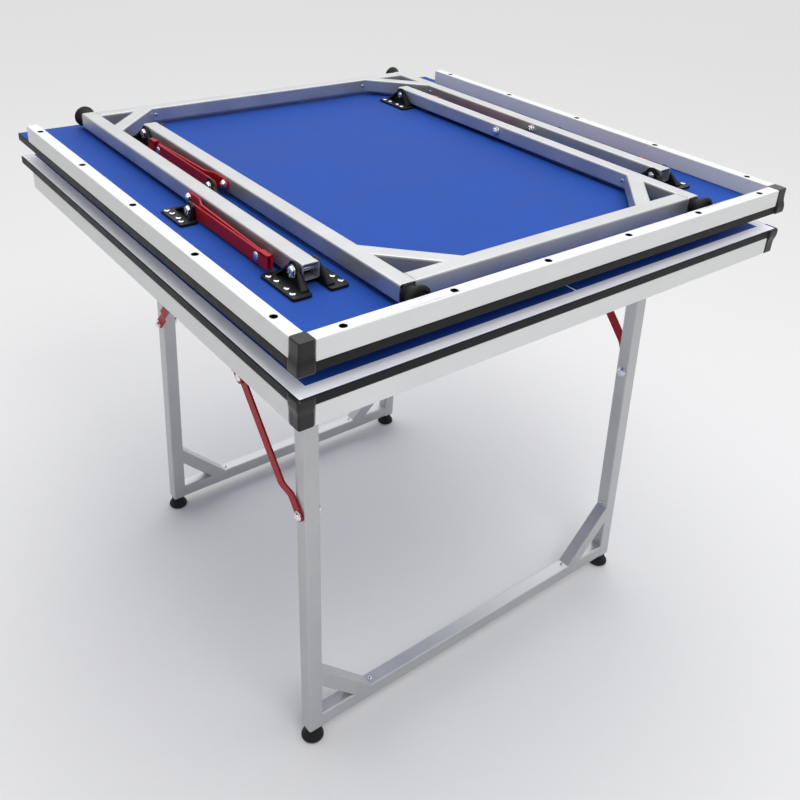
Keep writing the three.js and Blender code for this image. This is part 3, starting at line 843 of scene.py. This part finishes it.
def make_hinge_strip_screws(half):
    """Countersunk screws along the centre hinge's leaf."""
    leaf_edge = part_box(f"centre_hinge_{half}")[0].y
    board_low, board_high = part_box(f"board_{half}")
    up = -1 if half == "upper" else 1
    face = board_low.z if half == "upper" else board_high.z
    row = leaf_edge + STRIP_SCREWS["row"]
    shape = bmesh.new()
    for i in range(STRIP_SCREWS["count"]):
        x = STRIP_SCREWS["first"] + STRIP_SCREWS["step"] * i
        spot = Matrix.Translation((x, row, face + up * STRIP_SCREWS["lift"])) @ facing(up)
        screw_head(shape, spot, 3.4, 0.9)
    materials = [MATERIAL["zinc"], MATERIAL["dark"]]
    finish_piece(f"hinge_strip_screws_{half}", shape, materials, f"{half}_half")


# ---------------------------------------------------------------- stage


def make_stage():
    """Pale floor, a soft sky brightest high up behind the table, a pale horizon and two broad lamps."""
    floor_mesh = bpy.data.meshes.new("floor")
    shape = bmesh.new()
    box(shape, (-FLOOR_REACH, -FLOOR_REACH, -12), (FLOOR_REACH, FLOOR_REACH, -0.4))
    shape.to_mesh(floor_mesh)
    shape.free()
    floor = bpy.data.objects.new("floor", floor_mesh)
    bpy.context.scene.collection.objects.link(floor)
    pale = coated("pale_floor", (0.70, 0.70, 0.705), 0.7, 0.6, 40, 0.00001, vary=0.008, shine=0.1)
    floor_mesh.materials.append(pale)

    world = bpy.data.worlds.new("studio")
    world.use_nodes = True
    tree = world.node_tree
    direction = tree.nodes.new("ShaderNodeTexCoord").outputs["Generated"]
    sky = towards(tree, direction, SKY_CENTRE, SKY_LEVELS)
    horizon = towards(tree, direction, (0, 0, 1), HORIZON_LEVELS)
    brighter = tree.nodes.new("ShaderNodeMath")
    brighter.operation = "MAXIMUM"
    tree.links.new(sky, brighter.inputs[0])
    tree.links.new(horizon, brighter.inputs[1])
    tree.links.new(brighter.outputs["Value"], tree.nodes["Background"].inputs["Strength"])
    tree.nodes["Background"].inputs["Color"].default_value = (1, 1, 1, 1)
    bpy.context.scene.world = world

    area_light("overhead", (0.3, 0.6, 3.4), (0, 0, 0.8), 2.6, 16)
    area_light("front_lamp", (-0.5, -2.1, 3.3), (0, -0.3, 0.7), 1.4, 34)


def towards(tree, direction, axis, levels):
    """Sky strength by the cosine between the direction and an axis. levels are two (cosine, strength)."""
    cosine = tree.nodes.new("ShaderNodeVectorMath")
    cosine.operation = "DOT_PRODUCT"
    cosine.inputs[1].default_value = Vector(axis).normalized()
    tree.links.new(direction, cosine.inputs[0])
    level = tree.nodes.new("ShaderNodeMapRange")
    (start, first), (end, last) = levels
    level.inputs["From Min"].default_value = start
    level.inputs["From Max"].default_value = end
    level.inputs["To Min"].default_value = first
    level.inputs["To Max"].default_value = last
    tree.links.new(cosine.outputs["Value"], level.inputs["Value"])
    return level.outputs["Result"]


def area_light(name, location, target, size, power):
    data = bpy.data.lights.new(name, "AREA")
    data.energy = power
    data.size = size
    light = bpy.data.objects.new(name, data)
    light.location = location
    light.rotation_euler = (Vector(target) - Vector(location)).to_track_quat("-Z", "Y").to_euler()
    bpy.context.scene.collection.objects.link(light)


def make_camera():
    """The camera stands off the near left corner, a little above the table."""
    heading, pitch, roll = 39.26, 26.94, 3.41
    data = bpy.data.cameras.new("camera")
    data.sensor_width = 36
    data.lens = 40.83
    data.shift_y = -0.1375
    camera = bpy.data.objects.new("camera", data)
    camera.matrix_world = (
        Matrix.Translation((-0.8878, -1.1441, 1.3108))
        @ Matrix.Rotation(math.radians(-heading), 4, "Z")
        @ Matrix.Rotation(math.radians(90 - pitch), 4, "X")
        @ Matrix.Rotation(math.radians(roll), 4, "Z")
    )
    bpy.context.scene.collection.objects.link(camera)
    bpy.context.scene.camera = camera


# ---------------------------------------------------------------- the whole table

for default in list(bpy.data.objects):
    bpy.data.objects.remove(default, do_unlink=True)

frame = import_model()
MATERIAL = make_materials()

make_camera()
make_stage()

for half in HALVES:
    dress_cad_node(f"board_{half}", MATERIAL["board"])
    dress_cad_node(f"edge_band_{half}", MATERIAL["edge_band"], 0.0006)
    for rail in ("left", "right", "front"):
        dress_cad_node(f"rail_{rail}_{half}", MATERIAL["rail"], 0.0012)
    for cap in ("left", "right"):
        dress_cad_node(f"corner_cap_{cap}_{half}", MATERIAL["corner_cap"], 0.0008)
    dress_cad_node(f"centre_hinge_{half}", MATERIAL["hinge_steel"], 0.0003)
    make_lines(half)
    make_rail_hole_shade(half)
    make_hinge_strip_screws(half)
    for place in PLACES:
        dress_cad_node(f"leg_frame_{place}_{half}", MATERIAL["frame_tube"], 0.0006, angle=50)
        make_welds(place, half)
        for side in (-1, 1):
            make_hinge(place, half, side)
            make_stay_bracket(place, half, side)
            make_stay(place, half, side)
            make_foot(place, half, side)

bpy.context.scene.view_settings.view_transform = "Standard"
